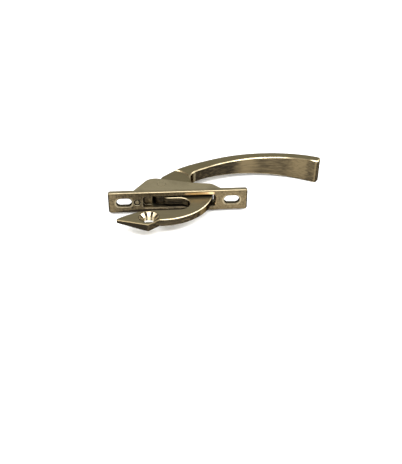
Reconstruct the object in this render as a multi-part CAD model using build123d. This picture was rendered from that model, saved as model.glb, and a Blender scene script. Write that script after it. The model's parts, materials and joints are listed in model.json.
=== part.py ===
from build123d import *
import math
import os

os.makedirs("parts", exist_ok=True)

# Millimetres, +Z up along the pivot. X runs along the plate, +Y points to the room.
# Origin: centre of the two screw slots, on the face of the plate that sits on the window frame.

# Plate
plate_length = 78.0
height = 13.0
plate_thick = 2.55
plate_corner = 1.5
plate_front_round = 0.7

# Screw slots
slot_spacing = 60.3
slot_length = 8.6
slot_width = 5.0
slot_bevel = 0.45

# Window in the plate and recess behind it
window_length = 40.8
window_shift = 0.6
cavity_width = 7.2
window_corner = 2.0
window_bevel = 0.5
recess = 1.0

# Ring mark on the front of the plate
mark_x = -22.9
mark_outer_r = 2.1
mark_inner_r = 1.0
mark_depth = 0.5

# Cheek outline behind the plate
foot_left = -25.1
left_slope_deg = 56.5
knee_x = 7.0
knee_y = 9.8
fall_deg = 17.0
shoulder_deg = 9.0
shoulder_end = 19.5
foot_right = 24.6
hump_round = 7.0
knee_round = 30.0
end_round = 4.0
cheek_bevel = 0.4

# Pivot
pivot_x = -9.0
pivot_y = 8.5
pin_r = 2.5
pin_bevel = 0.15
pivot_clear = 0.05
hub_r = 5.6
washer_thick = 0.5
washer_r = 5.0
washer_clear = 0.1
hub_play = 0.05

# Swing of the lever and the room kept for it between the cheeks
swing_deg = 75.0
swing_gap = 0.4
bay_room = 2.0
arm_gap = 0.3

# Hook blade
blade_thick = 4.4
blade_bevel = 0.35
hook_gap = 0.8
arm_front = 0.6
arm_back = 7.4
arm_blend = 4.4
throat_x = 0.34
throat_r = 5.91
claw_bend_x = -14.0
claw_mid_x = -24.9
claw_mid_drop = 2.3
tip_x = -34.8
tip_drop = 8.1
tip_round = 1.0
tip_thick = 1.7
barb_x = -16.9
barb_out = 4.5
barb_round = 1.2
notch_deg = 266.5

# Countersunk and fluted hole in the hook
tie_x = -16.5
tie_y = -17.6
tie_hole_r = 3.15
tie_sink_r = 5.1
tie_sink_deg = 45.0
tie_flutes = 8
tie_flute_r = 0.75
tie_flute_depth = 0.45

# Lever, seen from above
root_start_x = -8.5
root_inset = 1.16
bend_x = -2.0
flank_x = 8.0
crown_y = 43.7
crown_thick = 6.3
crown_shift = 3.1
back_arc_r = 81.6
grip_arc_x = 48.7
grip_arc_r = 70.3
inside_round = 9.0
back_round = 34.0
lever_end_x = 84.8
end_corner = 1.5
ridge_x = -5.5
ridge_y = 16.2
ridge_r = 13.6

# Lever, seen from the side
narrow_x = 17.5
narrow_width = 7.5
end_width = 15.0
flare_round = 100.0
lever_edge_bevel = 0.5

# Cutters run past the faces they cut by this much; edges closer than touch count as meeting.
over = 1.0
touch = 0.01

half = height / 2
cavity_half = cavity_width / 2
blade_half = blade_thick / 2
narrow_half = narrow_width / 2
hub_half = cavity_half - washer_thick - hub_play
window_right = window_shift + window_length / 2
arc_r = window_right - pivot_x - hook_gap
far = 2 * plate_length
pivot = Pos(pivot_x, pivot_y, 0)


def lift(face, low, high):
    # Straight prism on a face drawn in the XY plane, from Z low to Z high.
    return extrude(Pos(0, 0, low) * face, high - low, dir=(0, 0, 1))


def along_y(face, near, deep):
    # Straight prism on a face drawn with X and Z, from Y near to Y deep.
    return Pos(0, near, 0) * extrude(Plane.XZ * face, deep - near, dir=(0, 1, 0))


def polygon(*points):
    return make_face(Polyline(*points, close=True))


def corner(face, x, y):
    # The corner of a face nearest to a point.
    return min(face.vertices(), key=lambda v: (v.X - x) ** 2 + (v.Y - y) ** 2)


def end_rims(solid):
    # Edges of the lowest and of the highest face.
    faces = solid.faces().sort_by(Axis.Z)
    return faces[0].edges() + faces[-1].edges()


def front_rim(solid, x, length, width):
    # Edges of an opening of that length and width, on the front face.
    found = []
    for e in solid.edges():
        box = e.bounding_box()
        flat = max(abs(box.min.Y), abs(box.max.Y)) < touch
        across = max(abs(box.min.X - x), abs(box.max.X - x)) < length / 2 + touch
        upright = max(abs(box.min.Z), abs(box.max.Z)) < width / 2 + touch
        if flat and across and upright:
            found.append(e)
    return found


def arc_height(x, arc_x, arc_y, arc_r):
    # Y of the upper side of an arc at a place along X.
    return arc_y + math.sqrt(arc_r ** 2 - (x - arc_x) ** 2)


# Side of the lever root that comes to rest against the housing; it starts inside the back arc
back_arc_x = grip_arc_x - crown_shift
back_arc_y = crown_y - back_arc_r
root_left = pivot_x - hub_r
start_y = arc_height(root_start_x, back_arc_x, back_arc_y, back_arc_r) - root_inset
side_dir = math.atan2(start_y - pivot_y, root_start_x - root_left)

# Plate and cheeks
plate = along_y(RectangleRounded(plate_length, height, plate_corner), 0, plate_thick)
plate = fillet(plate.faces().sort_by(Axis.Y)[0].edges(), plate_front_round)

fall = math.tan(math.radians(fall_deg))
rise = math.tan(math.radians(left_slope_deg))
hump_x = (knee_y + knee_x * fall - plate_thick + foot_left * rise) / (rise + fall)
hump_y = plate_thick + (hump_x - foot_left) * rise
shoulder_y = knee_y - (shoulder_end - knee_x) * math.tan(math.radians(shoulder_deg))
buried = plate_thick / 2
cheek_outline = polygon(
    (foot_left, buried),
    (foot_left, plate_thick),
    (hump_x, hump_y),
    (knee_x, knee_y),
    (shoulder_end, shoulder_y),
    (foot_right, plate_thick),
    (foot_right, buried),
)
cheek_outline = fillet(corner(cheek_outline, hump_x, hump_y), hump_round)
cheek_outline = fillet(corner(cheek_outline, knee_x, knee_y), knee_round)
cheek_outline = fillet(corner(cheek_outline, shoulder_end, shoulder_y), end_round)
cheeks = lift(cheek_outline, -half, half)
cheek_rims = [e for e in end_rims(cheeks) if (e @ 0.5).Y > plate_thick + cheek_bevel]
cheeks = chamfer(cheek_rims, cheek_bevel)
body = plate + cheeks

# Openings of the body
window = Pos(window_shift, 0) * RectangleRounded(window_length, cavity_width, window_corner)
body -= along_y(window, -over, plate_thick + recess)
body = chamfer(front_rim(body, window_shift, window_length, cavity_width), window_bevel)

stop_dir = side_dir + math.radians(swing_deg)
stop_off = hub_r * math.sin(side_dir) + swing_gap
stop_x = pivot_x - stop_off * math.sin(stop_dir)
stop_y = pivot_y + stop_off * math.cos(stop_dir)
swing_field = polygon(
    (stop_x, stop_y),
    (stop_x + far * math.cos(stop_dir), stop_y + far * math.sin(stop_dir)),
    (far, far),
    (far, 0),
    (stop_x, 0),
)
cavity = (pivot * Circle(arc_r + arm_gap)) & swing_field
cavity += pivot * Circle(hub_r + bay_room)
body -= lift(cavity, -cavity_half, cavity_half)

for side in (-1, 1):
    slot_x = side * slot_spacing / 2
    slot = Pos(slot_x, 0) * SlotOverall(slot_length, slot_width)
    body -= along_y(slot, -over, plate_thick + over)
    body = chamfer(front_rim(body, slot_x, slot_length, slot_width), slot_bevel)
ring = Circle(mark_outer_r) - Circle(mark_inner_r)
body -= along_y(Pos(mark_x, 0) * ring, -over, mark_depth)
body -= pivot * Cylinder(pin_r, height + over)

# Pivot pin and washers
pin = Cylinder(pin_r, height)
pin = pivot * chamfer(pin.edges().filter_by(GeomType.CIRCLE), pin_bevel)
washer = Cylinder(washer_r, washer_thick) - Cylinder(pin_r + washer_clear, washer_thick + over)
washer_z = cavity_half - washer_thick / 2
washer_top = pivot * Pos(0, 0, washer_z) * washer
washer_bottom = pivot * Pos(0, 0, -washer_z) * washer

# Outline of the lever from above, its end square across the grip
bend_y = arc_height(bend_x, back_arc_x, back_arc_y, back_arc_r)
top_y = start_y + (flank_x - root_start_x) * (bend_y - start_y) / (bend_x - root_start_x)
root = polygon(
    (root_left, pivot_y),
    (root_start_x, start_y),
    (flank_x, top_y),
    (flank_x, pivot_y),
)
grip_arc_y = crown_y - crown_thick - grip_arc_r
back_disc = Pos(back_arc_x, back_arc_y) * Circle(back_arc_r)
grip_disc = Pos(grip_arc_x, grip_arc_y) * Circle(grip_arc_r)
end_inner_y = arc_height(lever_end_x, grip_arc_x, grip_arc_y, grip_arc_r)
end_slope = (lever_end_x - grip_arc_x) / (end_inner_y - grip_arc_y)
arm_field = polygon(
    (flank_x - over, pivot_y),
    (lever_end_x + (pivot_y - end_inner_y) * end_slope, pivot_y),
    (lever_end_x + (far - end_inner_y) * end_slope, far),
    (flank_x - over, far),
)
planform = ((root & back_disc) + ((back_disc - grip_disc) & arm_field)).faces()[0]

inside_y = arc_height(flank_x, grip_arc_x, grip_arc_y, grip_arc_r)
planform = fillet(corner(planform, flank_x, inside_y), inside_round)
planform = fillet(corner(planform, bend_x, bend_y), back_round)
planform = fillet(corner(planform, lever_end_x, end_inner_y), end_corner)
planform = fillet(corner(planform, lever_end_x, crown_y), end_corner)

# Lever, flaring evenly to its end, with bevelled edges and a thinner root
flare = (end_width - narrow_width) / 2 / (lever_end_x - narrow_x)
far_half = narrow_half + (far - narrow_x) * flare
side_view = polygon(
    (root_left - over, -narrow_half),
    (narrow_x, -narrow_half),
    (far, -far_half),
    (far, far_half),
    (narrow_x, narrow_half),
    (root_left - over, narrow_half),
)
for side in (-1, 1):
    side_view = fillet(corner(side_view, narrow_x, side * narrow_half), flare_round)
lever = lift(planform, -far_half, far_half) & along_y(side_view, -far, far)
lever_rims = []
for e in lever.edges():
    box = e.bounding_box()
    across = box.size.X < touch
    if box.size.Z < blade_thick and box.max.Y > pivot_y + touch and not across:
        lever_rims.append(e)
lever = chamfer(lever_rims, lever_edge_bevel)
step_height = half - hub_half
step_z = hub_half + step_height / 2
step_ramp = Pos(ridge_x, ridge_y, step_z) * Cone(ridge_r, ridge_r + step_height, step_height)
step_field = polygon(
    (root_left - over, pivot_y - over),
    (root_left - over, ridge_y),
    (flank_x + over, ridge_y),
    (flank_x + over, pivot_y - over),
)
step = step_ramp + lift(step_field, hub_half, half)
lever -= step
lever -= mirror(step, about=Plane.XY)

# Hook
notch_dir = math.radians(notch_deg)
notch_x = pivot_x + arc_r * math.cos(notch_dir)
notch_y = pivot_y + arc_r * math.sin(notch_dir)
throat_y = arm_front - throat_r
claw_y = throat_y - throat_r
barb_y = notch_y - barb_out
arm_dir = -math.asin((pivot_y - arm_back) / arc_r)
arm_end_x = pivot_x + arc_r * math.cos(arm_dir)
mid_dir = (notch_dir - 2 * math.pi + arm_dir) / 2
arc_mid = (pivot_x + arc_r * math.cos(mid_dir), pivot_y + arc_r * math.sin(mid_dir))
blade_outline = make_face([
    Line((pivot_x, arm_front), (throat_x, arm_front)),
    ThreePointArc((throat_x, arm_front), (throat_x + throat_r, throat_y), (throat_x, claw_y)),
    Line((throat_x, claw_y), (claw_bend_x, claw_y)),
    ThreePointArc((claw_bend_x, claw_y), (claw_mid_x, claw_y - claw_mid_drop), (tip_x, claw_y - tip_drop)),
    Line((tip_x, claw_y - tip_drop), (barb_x, barb_y)),
    Line((barb_x, barb_y), (notch_x, notch_y)),
    ThreePointArc((notch_x, notch_y), arc_mid, (arm_end_x, arm_back)),
    Line((arm_end_x, arm_back), (pivot_x, arm_back)),
    Line((pivot_x, arm_back), (pivot_x, arm_front)),
])
blade_outline = fillet(corner(blade_outline, tip_x, claw_y - tip_drop), tip_round)
blade_outline = fillet(corner(blade_outline, barb_x, barb_y), barb_round)
blade_outline = fillet(corner(blade_outline, pivot_x, arm_front), arm_blend)
blade = lift(blade_outline, -blade_half, blade_half)
blade_rims = [e for e in end_rims(blade) if (e @ 0.5).Y < arm_front + arm_blend]
blade = chamfer(blade_rims, blade_bevel)

# Claw thinned from below, from full thickness at the barb to the tip
wedge_x = 2 * tip_x - barb_x
wedge = polygon(
    (barb_x, -blade_half),
    (wedge_x, blade_thick + blade_half - 2 * tip_thick),
    (wedge_x, -blade_thick),
    (barb_x, -blade_thick),
)
blade -= along_y(wedge, -far, claw_y + over)

tie = Pos(tie_x, tie_y, 0)
sink_dir = math.radians(tie_sink_deg)
sink_depth = (tie_sink_r - tie_hole_r) / math.tan(sink_dir)
sink_z = blade_half - sink_depth / 2
blade -= tie * Cylinder(tie_hole_r, blade_thick + over)
blade -= tie * Pos(0, 0, sink_z) * Cone(tie_hole_r, tie_sink_r, sink_depth)
flute_sunk = tie_flute_depth - tie_flute_r
flute_r = (tie_sink_r + tie_hole_r) / 2 + flute_sunk * math.cos(sink_dir)
flute_z = sink_z - flute_sunk * math.sin(sink_dir)
flute_length = sink_depth / math.cos(sink_dir) + 2 * over
flute = Pos(flute_r, 0, flute_z) * Rot(0, tie_sink_deg, 0) * Cylinder(tie_flute_r, flute_length)
flute_turn = 360 / tie_flutes
for i in range(tie_flutes):
    blade -= tie * Rot(0, 0, (i + 0.5) * flute_turn) * flute

lever_hook = lever + pivot * Cylinder(hub_r, 2 * hub_half) + blade
lever_hook -= pivot * Cylinder(pin_r + pivot_clear, height + over)

export_step(body, "parts/body.step")
export_step(lever_hook, "parts/lever_hook.step")
export_step(pin, "parts/pivot_pin.step")
export_step(washer_top, "parts/washer_top.step")
export_step(washer_bottom, "parts/washer_bottom.step")
for name, solid in (("body", body), ("lever_hook", lever_hook), ("pivot_pin", pin)):
    box = solid.bounding_box()
    print(name, round(solid.volume, 1), len(solid.solids()), box.min, box.max)
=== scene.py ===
import bpy
import json
import math
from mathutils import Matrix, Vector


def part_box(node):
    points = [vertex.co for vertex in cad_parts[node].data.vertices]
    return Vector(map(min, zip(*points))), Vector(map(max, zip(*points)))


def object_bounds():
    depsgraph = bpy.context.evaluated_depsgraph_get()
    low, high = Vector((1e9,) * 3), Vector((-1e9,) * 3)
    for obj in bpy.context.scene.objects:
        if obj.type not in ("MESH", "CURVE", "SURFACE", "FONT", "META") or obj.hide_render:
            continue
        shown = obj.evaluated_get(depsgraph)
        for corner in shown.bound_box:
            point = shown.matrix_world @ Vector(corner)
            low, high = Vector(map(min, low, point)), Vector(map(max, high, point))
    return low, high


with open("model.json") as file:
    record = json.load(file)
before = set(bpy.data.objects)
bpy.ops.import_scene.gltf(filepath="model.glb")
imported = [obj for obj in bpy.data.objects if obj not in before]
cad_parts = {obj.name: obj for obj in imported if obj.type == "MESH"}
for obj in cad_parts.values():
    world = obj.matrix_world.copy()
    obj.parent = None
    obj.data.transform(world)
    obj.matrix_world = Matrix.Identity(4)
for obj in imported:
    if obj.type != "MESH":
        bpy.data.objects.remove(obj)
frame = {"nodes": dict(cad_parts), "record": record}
cad_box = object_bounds()

# Camera, as the photograph was taken: place in metres, turns in degrees, lens and sensor in millimetres
CAMERA_PLACE = (-0.0115, -0.3063, 0.1972)
CAMERA_TURN = (54.55, -0.53, -4.19)
CAMERA_LENS = 50.4
SENSOR_WIDTH = 36.0
CLIP_START = 0.01

# Light: each softbox by degrees round from the front towards +X and degrees up; lengths in metres
ROOM_COLOUR = (1.0, 0.99, 0.97, 1.0)
ROOM_STRENGTH = 0.85
SOFTBOXES = ((-70, 46), (-40, 56), (11, 58), (56, 50), (97, 32))
SOFTBOX_AWAY = 0.73
SOFTBOX_SIZE = (0.34, 0.20)
SOFTBOX_WATTS = 1.75
FRONT_PLACE = (0.05, -0.70, 0.44)
FRONT_SIZE = (0.7, 0.20)
FRONT_WATTS = 3.0
FLOOR_SIZE = 4.0

# Colours, linear
# Flat and wall tones of each brass part: partly rub and patina, partly painted light on the flats and
# painted shade on the walls
RUBBED_AND_LIT_BODY = (0.355, 0.310, 0.200, 1.0)
RUBBED_AND_LIT_LEVER = (0.222, 0.192, 0.116, 1.0)
WARM_AND_SHADED_BODY = (0.185, 0.142, 0.078, 1.0)
WARM_AND_SHADED_LEVER = (0.150, 0.115, 0.063, 1.0)
PATINA = (0.020, 0.016, 0.011, 1.0)
WORN = (0.85, 0.73, 0.48, 1.0)
# Copper colour for a painted warm reflection by the window
COPPER_REFLECTION = (0.90, 0.62, 0.33, 1.0)
GRAZED = (0.32, 0.30, 0.27, 1.0)
NYLON = (0.03, 0.03, 0.032, 1.0)
PAPER = (0.94, 0.94, 0.935, 1.0)

# Noise, in swings to the millimetre along X, Y and Z
CLOUD_SWINGS = (0.09, 0.09, 0.09)
SPECK_SWINGS = (0.8, 0.8, 0.8)
BRUSH_SWINGS = (0.06, 3.2, 3.2)
GRAIN_SWINGS = (0.15, 0.9, 1.5)
PATCH_SWINGS = (0.16, 0.16, 0.16)
NYLON_SWINGS = (2.5, 2.5, 2.5)
PAPER_SWINGS = (0.7, 0.7, 0.7)
NOISE_ROUGHNESS = 0.55

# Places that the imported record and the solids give, turned into millimetres
MM = 0.001
mounts = {mount["name"]: mount for mount in frame["record"]["mounts"]}
slot_dims = mounts["screw_slots"]["dims"]
SLOT_X = slot_dims["spacing_x_mm"] / 2
SLOT_R = slot_dims["hole_r_mm"]
SLOT_STRAIGHT = slot_dims["slot_length_mm"] / 2 - SLOT_R
HOLE_X, HOLE_Y = [v / MM for v in mounts["tie_bar_hole"]["pos_m"][:2]]
HOLE_R = mounts["tie_bar_hole"]["dims"]["r_mm"]
PIVOT_X, PIVOT_Y = [v / MM for v in frame["record"]["behaviour"]["joints"][0]["pos_m"][:2]]
PLATE_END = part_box("body")[1][0] / MM
PLATE_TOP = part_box("body")[1][2] / MM

# Other places on the part, millimetres
MARK_X = -22.9
MARK_INNER, MARK_OUTER = 0.95, 2.15
SINK_EDGE = 5.3
SINK_START = 2.9
FLUTES = 8
RIDGE_X, RIDGE_Y = -5.5, 16.2
RIDGE_FOOT, RIDGE_TOP = 13.2, 17.4
END_SLANT = 0.598
END_FROM = 67.45

# From here on a range in brackets is where something fades, in millimetres, or how far a face is tilted,
# as a part of its normal; a pair of ranges is where something comes in and where it goes out again.

# Faces of the brass by the upright part of their normal, and its gloss and relief
FLAT_TILT = (0.80, 0.97)
WALL_TILT = (0.10, 0.45)
CORNER_R = 0.30
CORNER_TURN = (0.90, 0.99)
# Darkening in recesses found by occlusion: partly patina in the hollows, partly painted shade
SHELTER_R = 4.0
SHELTER_LIGHT = (0.30, 0.95)
SHELTER_PATINA_AND_SHADE = 0.55
CLOUD_RANGE = (0.42, 0.75)
BRASS_ROUGHNESS = (0.22, 0.46)
BRASS_BUMP, BRASS_BUMP_DEPTH = 0.20, 0.02

# Painted dark reflections on the grip: where along X each comes in and goes out, and its share
GRIP_DARK_REFLECTIONS = (
    ((5.0, 10.0), (33.5, 42.0), 0.90),
    ((44.0, 53.0), (66.0, 74.0), 0.50),
    ((77.5, 80.5), (82.8, 84.0), 0.50),
)
GRIP_Y = (10.0, 14.0)
END_RANGE = (END_FROM - 0.25, END_FROM + 0.25)
# Painted dark reflection over the end of the lever
END_DARK_REFLECTION = 0.90

# Dark skin on the rest of the lever, a painted highlight on the hook's wall and painted shade on the root's
# top
HOOK_TO_ROOT = (5.0, 8.0)
HOOK_STAIN = 0.80
# Painted highlight on the hook's wall near the plate, taken out of the dark skin
GLINT_X = ((10.8, 12.0), (14.2, 15.4))
GLINT_HIGHLIGHT = 0.75
CLAW_STAIN_X = (-19.0, -16.5)
CLAW_STAIN_Y = (-11.0, -10.0)
CLAW_STAIN = 0.55
HOOK_TOP_STAIN, HOOK_TOP_DULL = 0.11, 0.20
# Painted shade on the lower top of the lever's root, next to the cheek that stands over it
ROOT_TOP_EDGE = (13.5, 16.0)
ROOT_TOP_SHADE = 0.08
FLUTE_DEPTH = (0.16, 0.36)
FLUTE_FLOOR = (0.2, 0.4)
FLUTE_OUT = (SINK_EDGE, SINK_EDGE + 0.5)
FLUTE_HALF = (0.10, 0.18)
FLUTE_FOOT = (HOLE_R + 0.9, HOLE_R + 1.2)
LEVER_CLOUD = 0.12
LEVER_GRAIN = (0.3, 1.5)

# Wear on the lever, and a painted highlight line in the grip's inner corner
LEVER_BEVEL = ((0.50, 0.62), (0.80, 0.93))
PATCH_RANGE = (0.40, 0.60)
PATCH_WEAR = (0.45, 0.85)
RIDGE_SOFT = 0.2
RIDGE_FROM_Y = (16.0, 18.0)
RIDGE_SPAN = ((0.0, 3.0), (7.0, 7.5))
SINK_RIM = (SINK_EDGE - 0.1, SINK_EDGE + 0.2)
CLAW_X = (-12.0, -8.0)
CLAW_Y = (-10.6, -10.0)
CLAW_DIM = 0.95
ARM_X = (6.0, 7.5)
ARM_BACK = (7.0, 9.0)
ARM_DIM = 0.45
START_X = (22.0, 44.0)
START_Y = (14.0, 17.0)
START_DIM = 0.65
HOLE_WALL = (HOLE_R + 0.1, HOLE_R + 0.25)
HOLE_WEAR = 0.9
# Painted highlight line in the hollow of the grip's inner corner
HOLLOW_TILT = ((0.58, 0.66), (0.72, 0.80))
HOLLOW_Y = ((14.0, 16.0), (30.0, 32.0))
HOLLOW_HIGHLIGHT = 0.15
LEVER_CORNER = (0.4, 0.05)

# Dark skin on the body, with painted shade, painted shadow and painted dark reflections
BODY_WALL_STAIN = 0.24
BODY_CLOUD = 0.22
BODY_GRAIN = (0.3, 1.8)
INSIDE_X, INSIDE_Y, INSIDE_Z = (22.0, 23.0), (1.0, 2.0), (3.5, 3.7)
INSIDE_STAIN = 0.06
FRONT_Y = (0.7, 1.0)
# Painted shade in the groove round the mark
GROOVE_SOFT = 0.1
GROOVE_SHADE = 0.55
# Painted shadow and dark reflection of the hook on the plate below the window
BELOW_Z = (-4.9, -4.0)
BELOW_X = ((-36.0, -31.0), (4.0, 14.0))
BELOW_SLOPE = 0.10
BELOW_SHADOW = 0.75
LEFT_X = ((-46.0, -30.0), (-18.0, -10.0))
LEFT_STAIN = 0.25
# Painted dark reflection on the plate's ends
PLATE_ENDS = (PLATE_END - 0.9, PLATE_END - 0.4)
ENDS_DARK_REFLECTION = 0.8
# The walls inside the screw slots are made darker
SLOT_WALL = (SLOT_R + 0.25, SLOT_R + 0.60)
SLOT_WALL_DARKENING = 0.80
BRIM_Y = (2.25, 2.55)
BRIM_Z = (PLATE_TOP - 0.3, PLATE_TOP - 0.1)
BRIM_STAIN = 0.16
# Painted shade on the upward-facing bevel of the window's lower ledge
LEDGE_TILT = (0.2, 0.5)
LEDGE_SHADE = 0.75

# Wear on the body, a painted highlight ring round the slots and a painted warm reflection by the window
BODY_BEVEL = ((0.55, 0.65), (0.78, 0.90))
WINDOW_X, WINDOW_Z = (21.5, 22.0), (4.3, 4.6)
PLATE_WEAR, WINDOW_WEAR = 0.38, 0.25
# Painted highlight ring round the screw slots, stronger towards their ends
LIP_OUT = ((SLOT_R, SLOT_R + 0.1), (3.1, 3.9))
LIP_Y = (0.3, 0.6)
LIP_ENDS = (0.8, 2.4)
LIP_HIGHLIGHT = (0.02, 0.26)
KNOB_EDGE = (MARK_INNER - 0.2, MARK_INNER)
KNOB_WEAR = 0.12
BODY_CORNER = 0.35
PIN_RIM = (2.9, 3.3)
# Painted warm reflection on the strip above the window and on the window's right rim
STRIP_X, STRIP_Z = ((3.0, 5.0), (19.0, 21.0)), ((3.9, 4.1), (5.2, 5.7))
STRIP_Y = (0.2, 0.6)
RIM_X = (20.4, 20.8)
RIM_REFLECTION = 0.6


class Graph:
    """A material's node tree, with short calls for the nodes used here. Lengths are millimetres."""

    def __init__(self, name):
        self.material = bpy.data.materials.new(name)
        self.material.use_nodes = True
        self.tree = self.material.node_tree
        self.tree.nodes.clear()
        self.out = self.node("ShaderNodeOutputMaterial")
        coords = self.node("ShaderNodeTexCoord")
        grown = self.node("ShaderNodeVectorMath", operation="SCALE")
        self.put(coords.outputs["Object"], grown.inputs[0])
        grown.inputs["Scale"].default_value = 1 / MM
        self.place = grown.outputs["Vector"]
        self.x, self.y, self.z = self.split(self.place)
        self.facing_x, self.facing_y, self.facing_z = self.split(coords.outputs["Normal"])

    def node(self, kind, **values):
        made = self.tree.nodes.new(kind)
        for key, value in values.items():
            setattr(made, key, value)
        return made

    def put(self, value, socket):
        if isinstance(value, bpy.types.NodeSocket):
            self.tree.links.new(value, socket)
        else:
            socket.default_value = value

    def split(self, vector):
        made = self.node("ShaderNodeSeparateXYZ")
        self.put(vector, made.inputs[0])
        return made.outputs

    def math(self, operation, a, b=0.0):
        made = self.node("ShaderNodeMath", operation=operation)
        self.put(a, made.inputs[0])
        self.put(b, made.inputs[1])
        return made.outputs[0]

    def times(self, first, *others):
        for other in others:
            first = self.math("MULTIPLY", first, other)
        return first

    def total(self, first, *others):
        for other in others:
            first = self.math("ADD", first, other)
        return first

    def most(self, first, *others):
        for other in others:
            first = self.math("MAXIMUM", first, other)
        return first

    def less(self, a, b):
        return self.math("SUBTRACT", a, b)

    def rest(self, share):
        return self.less(1.0, share)

    def size(self, value):
        return self.math("ABSOLUTE", value)

    def rise(self, value, low, high):
        """0 at low, 1 at high, eased between."""
        made = self.node("ShaderNodeMapRange", interpolation_type="SMOOTHSTEP", clamp=True)
        self.put(value, made.inputs["Value"])
        self.put(low, made.inputs["From Min"])
        self.put(high, made.inputs["From Max"])
        return made.outputs["Result"]

    def fall(self, value, low, high):
        """1 at low, 0 at high, eased between."""
        return self.rest(self.rise(value, low, high))

    def band(self, value, come, go):
        """1 between a rise and a fall, each given as where it starts and where it ends."""
        return self.times(self.rise(value, *come), self.fall(value, *go))

    def ring(self, distance, inner, outer, soft):
        """1 between two radii, with edges that fade over twice the soft width."""
        return self.band(distance, (inner - soft, inner + soft), (outer - soft, outer + soft))

    def spread(self, share, low, high):
        """A 0 to 1 share spread from low to high."""
        made = self.node("ShaderNodeMapRange", clamp=True)
        self.put(share, made.inputs["Value"])
        self.put(low, made.inputs["To Min"])
        self.put(high, made.inputs["To Max"])
        return made.outputs["Result"]

    def reach(self, a, b):
        """Distance that the steps a and b, square to each other, make together."""
        return self.math("SQRT", self.total(self.times(a, a), self.times(b, b)))

    def away(self, x, y):
        """Distance in plan from a point."""
        return self.reach(self.less(self.x, x), self.less(self.y, y))

    def mix(self, share, a, b):
        made = self.node("ShaderNodeMix", data_type="RGBA")
        self.put(share, made.inputs[0])
        self.put(a, made.inputs[6])
        self.put(b, made.inputs[7])
        return made.outputs[2]

    def noise(self, swings, detail=3.0):
        """Soft noise, with so many swings to the millimetre along each axis."""
        spaced = self.node("ShaderNodeMapping")
        self.put(self.place, spaced.inputs["Vector"])
        spaced.inputs["Scale"].default_value = swings
        made = self.node("ShaderNodeTexNoise")
        self.put(spaced.outputs["Vector"], made.inputs["Vector"])
        made.inputs["Scale"].default_value = 1.0
        made.inputs["Detail"].default_value = detail
        made.inputs["Roughness"].default_value = NOISE_ROUGHNESS
        return made.outputs["Fac"]

    def bump(self, height, strength, depth, normal=None):
        made = self.node("ShaderNodeBump")
        self.put(height, made.inputs["Height"])
        self.put(strength, made.inputs["Strength"])
        self.put(depth * MM, made.inputs["Distance"])
        if normal is not None:
            self.put(normal, made.inputs["Normal"])
        return made.outputs["Normal"]

    def corners(self, radius):
        """1 where the surface turns a corner within the radius, and the normal rounded over it."""
        rounded = self.node("ShaderNodeBevel", samples=8)
        self.put(radius * MM, rounded.inputs["Radius"])
        true = self.node("ShaderNodeNewGeometry")
        dot = self.node("ShaderNodeVectorMath", operation="DOT_PRODUCT")
        self.put(rounded.outputs["Normal"], dot.inputs[0])
        self.put(true.outputs["Normal"], dot.inputs[1])
        return self.fall(dot.outputs["Value"], *CORNER_TURN), rounded.outputs["Normal"]

    def sheltered(self, distance, shut_in, open_sky):
        """1 in tight recesses, 0 in the open."""
        shade = self.node("ShaderNodeAmbientOcclusion", samples=8)
        shade.inputs["Distance"].default_value = distance * MM
        return self.fall(shade.outputs["AO"], shut_in, open_sky)

    def surface(self, **values):
        shader = self.node("ShaderNodeBsdfPrincipled")
        for key, value in values.items():
            self.put(value, shader.inputs[key.replace("_", " ").title()])
        self.tree.links.new(shader.outputs[0], self.out.inputs["Surface"])
        return self.material


class Brass(Graph):
    """Antique brass: browned walls darkened further as painted shade, rubbed flats lightened as painted
    light, and edges that are worn bright.
    """

    def __init__(self, name):
        super().__init__(name)
        self.upright = self.size(self.facing_z)
        self.flat = self.rise(self.upright, *FLAT_TILT)
        self.wall = self.fall(self.upright, *WALL_TILT)
        self.corner, self.soft_normal = self.corners(CORNER_R)
        self.cloud = self.noise(CLOUD_SWINGS, detail=4.0)
        self.speck = self.noise(SPECK_SWINGS)
        self.lines = self.noise(BRUSH_SWINGS, detail=2.0)
        self.clouded = self.rise(self.cloud, *CLOUD_RANGE)
        # Recesses darkened by occlusion, partly patina and partly painted shade
        self.shade = self.times(self.sheltered(SHELTER_R, *SHELTER_LIGHT), SHELTER_PATINA_AND_SHADE)

    def finished(self, colour, tarnish_and_shade, *wear_and_light, dull=0.0):
        """Lays dark skin and painted shade, and then each share and colour of wear and painted light, over
        a colour, and makes the surface.
        """
        tarnish_and_shade = self.math("MINIMUM", self.most(tarnish_and_shade, 0.0), 1.0)
        colour = self.mix(tarnish_and_shade, colour, PATINA)
        for share, bare in wear_and_light:
            colour = self.mix(share, colour, bare)
        streaks = self.total(self.times(self.cloud, 0.6), self.times(self.lines, 0.4))
        relief = self.total(self.times(self.lines, 0.6), self.times(self.speck, 0.4))
        return self.surface(
            base_color=colour,
            metallic=1.0,
            specular_tint=GRAZED,
            roughness=self.total(self.spread(streaks, *BRASS_ROUGHNESS), dull),
            normal=self.bump(relief, BRASS_BUMP, BRASS_BUMP_DEPTH, self.soft_normal),
        )


def grip_dark_reflections(g):
    """Painted dark reflections in bands along the grip and over the end of the lever."""
    along = g.less(g.x, g.times(g.y, END_SLANT))
    dark_reflection = g.times(g.rise(along, *END_RANGE), END_DARK_REFLECTION)
    for come, go, share in GRIP_DARK_REFLECTIONS:
        dark_reflection = g.total(dark_reflection, g.times(g.band(g.x, come, go), share))
    return g.times(g.rise(g.y, *GRIP_Y), dark_reflection)


def hook_stain_and_glint(g):
    """Dark skin round the hook, most on the claw, with one painted highlight near the plate that takes part
    of it away.
    """
    glint = g.times(g.band(g.x, *GLINT_X), GLINT_HIGHLIGHT)
    hook = g.times(g.fall(g.y, *HOOK_TO_ROOT), g.less(HOOK_STAIN, glint))
    claw = g.times(g.fall(g.x, *CLAW_STAIN_X), g.fall(g.y, *CLAW_STAIN_Y), CLAW_STAIN)
    return g.total(hook, claw)


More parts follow.
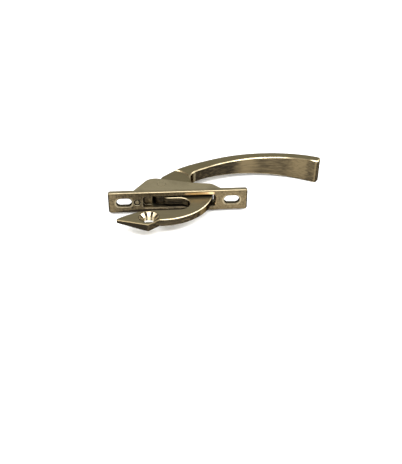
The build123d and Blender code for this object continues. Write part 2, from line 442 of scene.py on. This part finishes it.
def flute_stain(g, from_hole):
    """Dark skin in the flutes of the countersink and down the hole's wall below them."""
    depth = g.less(from_hole, g.total(g.z, SINK_START))
    flute = g.times(g.rise(depth, *FLUTE_DEPTH), g.rise(g.z, *FLUTE_FLOOR), g.fall(from_hole, *FLUTE_OUT))
    turn = g.math("ARCTAN2", g.less(g.y, HOLE_Y), g.less(g.x, HOLE_X))
    step = g.math("FRACT", g.times(turn, FLUTES / math.tau))
    below = g.times(g.fall(g.size(g.less(step, 0.5)), *FLUTE_HALF), g.fall(from_hole, *FLUTE_FOOT))
    return g.most(flute, below)


def lever_brass():
    g = Brass("lever brass")
    from_hole = g.away(HOLE_X, HOLE_Y)
    from_ridge = g.away(RIDGE_X, RIDGE_Y)
    flute = flute_stain(g, from_hole)
    hook_top = g.times(g.flat, g.fall(g.y, *HOOK_TO_ROOT))
    root_top = g.times(g.flat, g.fall(from_ridge, *ROOT_TOP_EDGE), g.rise(g.y, *HOOK_TO_ROOT))
    tarnish_and_shade = g.total(
        g.shade,
        g.times(g.clouded, LEVER_CLOUD),
        g.times(g.less(g.noise(GRAIN_SWINGS), 0.5), g.spread(g.wall, *LEVER_GRAIN)),
        # Walls take the hook's dark skin with its painted highlight, and the grip's painted dark
        # reflections
        g.times(g.wall, g.total(hook_stain_and_glint(g), grip_dark_reflections(g))),
        # Painted shade on the root's lower top
        g.times(root_top, ROOT_TOP_SHADE),
        g.times(hook_top, HOOK_TOP_STAIN),
        flute,
    )

    # Bevels are worn bright, less so on the claw, the arm, the foot of the ridge and the start of the grip
    ridge = g.ring(from_ridge, RIDGE_FOOT, RIDGE_TOP, RIDGE_SOFT)
    ridge = g.times(ridge, g.rise(g.y, *RIDGE_FROM_Y), g.band(g.x, *RIDGE_SPAN))
    off_sink = g.rise(from_hole, *SINK_RIM)
    claw = g.times(g.fall(g.x, *CLAW_X), g.fall(g.y, *CLAW_Y), off_sink, CLAW_DIM)
    arm = g.times(g.band(g.y, CLAW_Y, ARM_BACK), g.fall(g.x, *ARM_X), ARM_DIM)
    start = g.times(g.fall(g.x, *START_X), g.rise(g.y, *START_Y), START_DIM)
    patchy = g.spread(g.rise(g.noise(PATCH_SWINGS), *PATCH_RANGE), *PATCH_WEAR)
    bevel = g.times(g.band(g.upright, *LEVER_BEVEL), patchy, g.rest(g.most(ridge, claw, arm, start)))

    # The hole's wall is bare, and the hollow of the grip's inner corner has a painted highlight line
    hole = g.times(g.fall(from_hole, *HOLE_WALL), g.wall, HOLE_WEAR)
    hollow_highlight = g.times(g.band(g.facing_x, *HOLLOW_TILT), g.wall, g.band(g.y, *HOLLOW_Y), HOLLOW_HIGHLIGHT)
    corner = g.times(g.corner, g.spread(g.most(claw, start), *LEVER_CORNER))
    worn_and_highlit = g.times(g.most(corner, bevel, hole, hollow_highlight), g.rest(flute))
    # Walls darker and flats lighter, partly patina and rub, partly painted shade and painted light
    colour = g.mix(g.flat, WARM_AND_SHADED_LEVER, RUBBED_AND_LIT_LEVER)
    return g.finished(colour, tarnish_and_shade, (worn_and_highlit, WORN), dull=g.times(hook_top, HOOK_TOP_DULL))


def plate_shade_and_stain(g, front, from_mark, ends):
    """Painted shade round the mark, painted shadow and dark reflection below the window, painted dark
    reflection at the plate's ends, darker over the plate's left part, and dark skin a little behind the
    window.
    """
    inside = g.times(g.rise(g.y, *INSIDE_Y), g.fall(g.size(g.z), *INSIDE_Z), g.fall(g.size(g.x), *INSIDE_X))
    groove = g.times(front, g.ring(from_mark, MARK_INNER, MARK_OUTER, GROOVE_SOFT))
    drop = g.times(g.most(g.less(MARK_X, g.x), 0.0), BELOW_SLOPE)
    below = g.times(front, g.fall(g.total(g.z, drop), *BELOW_Z), g.band(g.x, *BELOW_X))
    return g.total(
        g.times(inside, INSIDE_STAIN),
        g.times(groove, GROOVE_SHADE),
        g.times(below, BELOW_SHADOW),
        g.times(g.band(g.x, *LEFT_X), LEFT_STAIN),
        g.times(ends, ENDS_DARK_REFLECTION),
    )


def body_brass(name):
    g = Brass(name)
    past_straight = g.most(g.less(g.size(g.less(g.size(g.x), SLOT_X)), SLOT_STRAIGHT), 0.0)
    from_slot = g.reach(past_straight, g.z)
    from_mark = g.reach(g.less(g.x, MARK_X), g.z)
    front = g.fall(g.y, *FRONT_Y)
    slot_wall = g.fall(from_slot, *SLOT_WALL)
    ends = g.rise(g.size(g.x), *PLATE_ENDS)
    edge = g.band(g.size(g.facing_y), *BODY_BEVEL)
    in_window = g.times(g.fall(g.size(g.z), *WINDOW_Z), g.fall(g.size(g.x), *WINDOW_X))
    ledge = g.times(edge, in_window, g.rise(g.facing_z, *LEDGE_TILT))
    brim = g.times(g.flat, g.fall(g.y, *BRIM_Y), g.rise(g.size(g.z), *BRIM_Z))
    tarnish_and_shade = g.total(
        g.shade,
        g.times(g.wall, BODY_WALL_STAIN),
        g.times(g.clouded, BODY_CLOUD),
        g.times(g.less(g.speck, 0.5), g.spread(g.wall, *BODY_GRAIN)),
        # Walls take the plate's painted shade, shadow and dark reflections, and its dark skin
        g.times(g.wall, plate_shade_and_stain(g, front, from_mark, ends)),
        g.times(slot_wall, SLOT_WALL_DARKENING),
        g.times(brim, BRIM_STAIN),
        g.times(ledge, LEDGE_SHADE),
    )

    # Edges of the plate are worn, those of the window less, its lower ledge and the plate's ends not at all
    bevel = g.times(edge, g.spread(in_window, PLATE_WEAR, WINDOW_WEAR))
    bevel = g.times(bevel, g.rest(g.most(ledge, ends, slot_wall)))
    # Painted highlight ring round the slots, stronger towards their ends
    lip_highlight = g.times(g.band(from_slot, *LIP_OUT), g.fall(g.y, *LIP_Y))
    lip_highlight = g.times(lip_highlight, g.spread(g.rise(past_straight, *LIP_ENDS), *LIP_HIGHLIGHT))
    knob = g.times(g.fall(from_mark, *KNOB_EDGE), front, KNOB_WEAR)
    corner = g.times(g.corner, g.rest(g.most(ends, slot_wall)), BODY_CORNER)
    off_pin = g.rise(g.away(PIVOT_X, PIVOT_Y), *PIN_RIM)
    worn_and_highlit = g.times(g.most(corner, bevel, lip_highlight, knob), off_pin)

    # Painted warm reflection: the strip of plate above the window, and the rim at the window's right end,
    # take a copper colour
    strip_reflection = g.times(g.band(g.z, *STRIP_Z), g.band(g.x, *STRIP_X), g.fall(g.y, *STRIP_Y))
    rim_reflection = g.times(edge, in_window, g.rise(g.x, *RIM_X), g.rest(ledge), RIM_REFLECTION)
    # Walls darker and flats lighter, partly patina and rub, partly painted shade and painted light
    colour = g.mix(g.flat, WARM_AND_SHADED_BODY, RUBBED_AND_LIT_BODY)
    return g.finished(colour, tarnish_and_shade, (worn_and_highlit, WORN), (g.most(strip_reflection, rim_reflection), COPPER_REFLECTION))


def nylon():
    g = Graph("nylon")
    grain = g.noise(NYLON_SWINGS)
    return g.surface(base_color=NYLON, roughness=g.spread(grain, 0.4, 0.6), normal=g.bump(grain, 0.1, 0.01))


def paper():
    g = Graph("paper")
    grain = g.noise(PAPER_SWINGS)
    return g.surface(base_color=PAPER, roughness=0.7, normal=g.bump(grain, 0.05, 0.02))


def dress(node, material):
    """Gives a CAD node its material."""
    for slot in frame["nodes"][node].material_slots:
        slot.material = material


def area_light(name, place, size, watts):
    """A rectangular light that looks at the origin."""
    data = bpy.data.lights.new(name, "AREA")
    data.shape = "RECTANGLE"
    data.size, data.size_y = size
    data.energy = watts
    lamp = bpy.data.objects.new(name, data)
    lamp.location = place
    lamp.rotation_euler = lamp.location.to_track_quat("Z", "Y").to_euler()
    bpy.context.collection.objects.link(lamp)


def studio():
    """Pale floor, soft room light, softboxes in an arc over the front and one long low panel."""
    bpy.ops.mesh.primitive_plane_add(size=FLOOR_SIZE, location=(0.0, 0.0, cad_box[0][2]))
    floor = bpy.context.object
    floor.name = "floor"
    floor.data.materials.append(paper())

    world = bpy.data.worlds.new("room")
    bpy.context.scene.world = world
    world.use_nodes = True
    room = world.node_tree.nodes["Background"]
    room.inputs["Color"].default_value = ROOM_COLOUR
    room.inputs["Strength"].default_value = ROOM_STRENGTH

    for round_deg, up_deg in SOFTBOXES:
        turn = math.radians(round_deg)
        up = math.radians(up_deg)
        out = SOFTBOX_AWAY * math.cos(up)
        place = (out * math.sin(turn), -out * math.cos(turn), SOFTBOX_AWAY * math.sin(up))
        area_light("softbox", place, SOFTBOX_SIZE, SOFTBOX_WATTS)
    area_light("front", FRONT_PLACE, FRONT_SIZE, FRONT_WATTS)


def camera():
    data = bpy.data.cameras.new("camera")
    data.sensor_width = SENSOR_WIDTH
    data.lens = CAMERA_LENS
    data.clip_start = CLIP_START
    eye = bpy.data.objects.new("camera", data)
    eye.location = CAMERA_PLACE
    eye.rotation_euler = [math.radians(turn) for turn in CAMERA_TURN]
    bpy.context.collection.objects.link(eye)
    bpy.context.scene.camera = eye


dress("body", body_brass("body brass"))
dress("pivot_pin", body_brass("pin brass"))
dress("lever_hook", lever_brass())
washer_skin = nylon()
for washer in ("washer_top", "washer_bottom"):
    dress(washer, washer_skin)
studio()
camera()
bpy.context.scene.view_settings.view_transform = "Standard"
